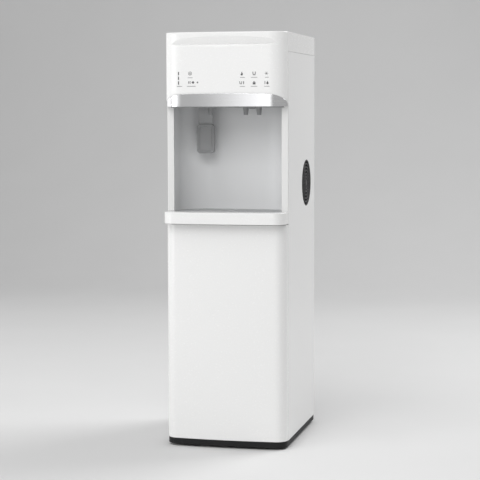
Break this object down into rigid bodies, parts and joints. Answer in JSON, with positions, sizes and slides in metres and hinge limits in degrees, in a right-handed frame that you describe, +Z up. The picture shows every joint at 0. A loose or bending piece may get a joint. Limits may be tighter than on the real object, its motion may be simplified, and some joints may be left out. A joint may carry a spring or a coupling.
{
  "type": "water dispenser",
  "caption": "Tall white free-standing hot and cold water dispenser with an open dispensing niche, push lever, touch fascia, pull-out drip tray and a filter bay behind the lower front panel.",
  "frame": {"origin": "on the floor, at the middle of the overall width and depth", "axes": "+Z up, -Y towards the user (front), +X to the user's right"},
  "size_m": [0.31, 0.423, 1.0375],
  "materials": {
    "white_plastic": "satin gloss",
    "white_steel": "satin paint",
    "zinc_steel": "galvanised",
    "black_plastic": "fine texture",
    "black_rubber": "matte",
    "grey_plastic": "fine texture",
    "mid_grey_plastic": "fine texture",
    "dark_plastic": "satin",
    "bright_trim": "polished",
    "natural_nylon": "moulded",
    "bright_steel": "brushed",
    "board_green": "solder mask",
    "component_black": "moulded",
    "foam_white": "expanded bead foam",
    "condenser_metal": "bare",
    "compressor_black": "gloss paint",
    "filter_white": "moulded",
    "switch_red": "moulded",
    "switch_green": "moulded",
    "cap_blue": "moulded"
  },
  "bodies": {
    "cabinet": {"control_fascia": "white_plastic", "top_cover": "white_plastic", "left_pillar": "white_plastic", "right_pillar": "white_plastic", "left_side_panel": "white_steel", "right_side_panel": "white_steel", "rear_panel": "zinc_steel", "mid_deck": "zinc_steel", "tank_shelf": "zinc_steel", "panel_screws": "zinc_steel", "base_plinth": "black_plastic", "side_grille": "black_plastic", "fan_frame": "black_plastic", "power_inlet": "black_plastic", "switch_housing": "black_plastic", "lever_switch": "black_plastic", "terminal_cover": "black_plastic", "rubber_feet": "black_rubber", "compressor_grommets": "black_rubber", "alcove_liner": "grey_plastic", "ambient_nozzle": "dark_plastic", "hot_nozzle": "dark_plastic", "cold_nozzle": "dark_plastic", "nozzle_plate": "dark_plastic", "head_trim": "bright_trim", "panel_catches": "natural_nylon", "lever_bracket": "natural_nylon", "ambient_valve": "natural_nylon", "hot_valve": "natural_nylon", "cold_valve": "natural_nylon", "water_inlet": "natural_nylon", "drain_outlet": "natural_nylon", "filter_manifold": "natural_nylon", "lever_pin": "bright_steel", "cold_tank": "bright_steel", "hot_tank": "bright_steel", "band_heater": "bright_steel", "control_board": "board_green", "power_board": "board_green", "board_components": "component_black", "cold_tank_jacket": "foam_white", "cold_tank_lid": "foam_white", "hot_tank_jacket": "foam_white", "condenser": "condenser_metal", "compressor": "compressor_black", "booster_pump": "compressor_black"},
    "tray": {"tray_lip": "white_plastic", "tray_basin": "white_plastic"},
    "grate": {"drip_grate": "mid_grey_plastic"},
    "front": {"front_panel": "white_plastic"},
    "lever": {"lever_arm": "mid_grey_plastic", "lever_pad": "dark_plastic"},
    "fan": {"fan_rotor": "black_plastic"},
    "hot_rocker": {"hot_switch": "switch_red"},
    "cold_rocker": {"cold_switch": "switch_green"},
    "sediment": {"sediment_filter": "filter_white"},
    "carbon": {"carbon_filter": "filter_white"},
    "membrane": {"membrane_filter": "filter_white"},
    "polishing": {"polishing_filter": "filter_white"},
    "cap": {"drain_cap": "cap_blue"}
  },
  "joints": [
    {"name": "tray_slide", "type": "slide", "parent": "cabinet", "child": "tray", "axis": [0, -1, 0], "range_m": [0, 0.15]},
    {"name": "grate_lift", "type": "slide", "parent": "tray", "child": "grate", "axis": [0, 0, 1], "range_m": [0, 0.05]},
    {"name": "front_pull", "type": "slide", "parent": "cabinet", "child": "front", "axis": [0, -1, 0], "range_m": [0, 0.12]},
    {"name": "lever_push", "type": "hinge", "parent": "cabinet", "child": "lever", "pos_m": [-0.0775, -0.0635, 0.8705], "axis": [1, 0, 0], "range_deg": [0, 8], "stiffness_Nm_per_rad": 1},
    {"name": "fan_spin", "type": "hinge", "parent": "cabinet", "child": "fan", "pos_m": [0.139, 0.0855, 0.656], "axis": [1, 0, 0], "continuous": true},
    {"name": "hot_rocker_tilt", "type": "hinge", "parent": "cabinet", "child": "hot_rocker", "pos_m": [-0.108, 0.195, 0.69], "axis": [1, 0, 0], "range_deg": [-16, 0]},
    {"name": "cold_rocker_tilt", "type": "hinge", "parent": "cabinet", "child": "cold_rocker", "pos_m": [-0.082, 0.195, 0.69], "axis": [1, 0, 0], "range_deg": [-16, 0]},
    {"name": "sediment_twist", "type": "hinge", "parent": "cabinet", "child": "sediment", "pos_m": [-0.108, -0.0855, 0.35], "axis": [0, 0, 1], "range_deg": [0, 90]},
    {"name": "carbon_twist", "type": "hinge", "parent": "cabinet", "child": "carbon", "pos_m": [-0.036, -0.0855, 0.35], "axis": [0, 0, 1], "range_deg": [0, 90]},
    {"name": "membrane_twist", "type": "hinge", "parent": "cabinet", "child": "membrane", "pos_m": [0.036, -0.0855, 0.35], "axis": [0, 0, 1], "range_deg": [0, 90]},
    {"name": "polishing_twist", "type": "hinge", "parent": "cabinet", "child": "polishing", "pos_m": [0.108, -0.0855, 0.35], "axis": [0, 0, 1], "range_deg": [0, 90]},
    {"name": "cap_turn", "type": "hinge", "parent": "cabinet", "child": "cap", "pos_m": [0.04, 0.205, 0.09], "axis": [0, 1, 0], "continuous": true}
  ]
}
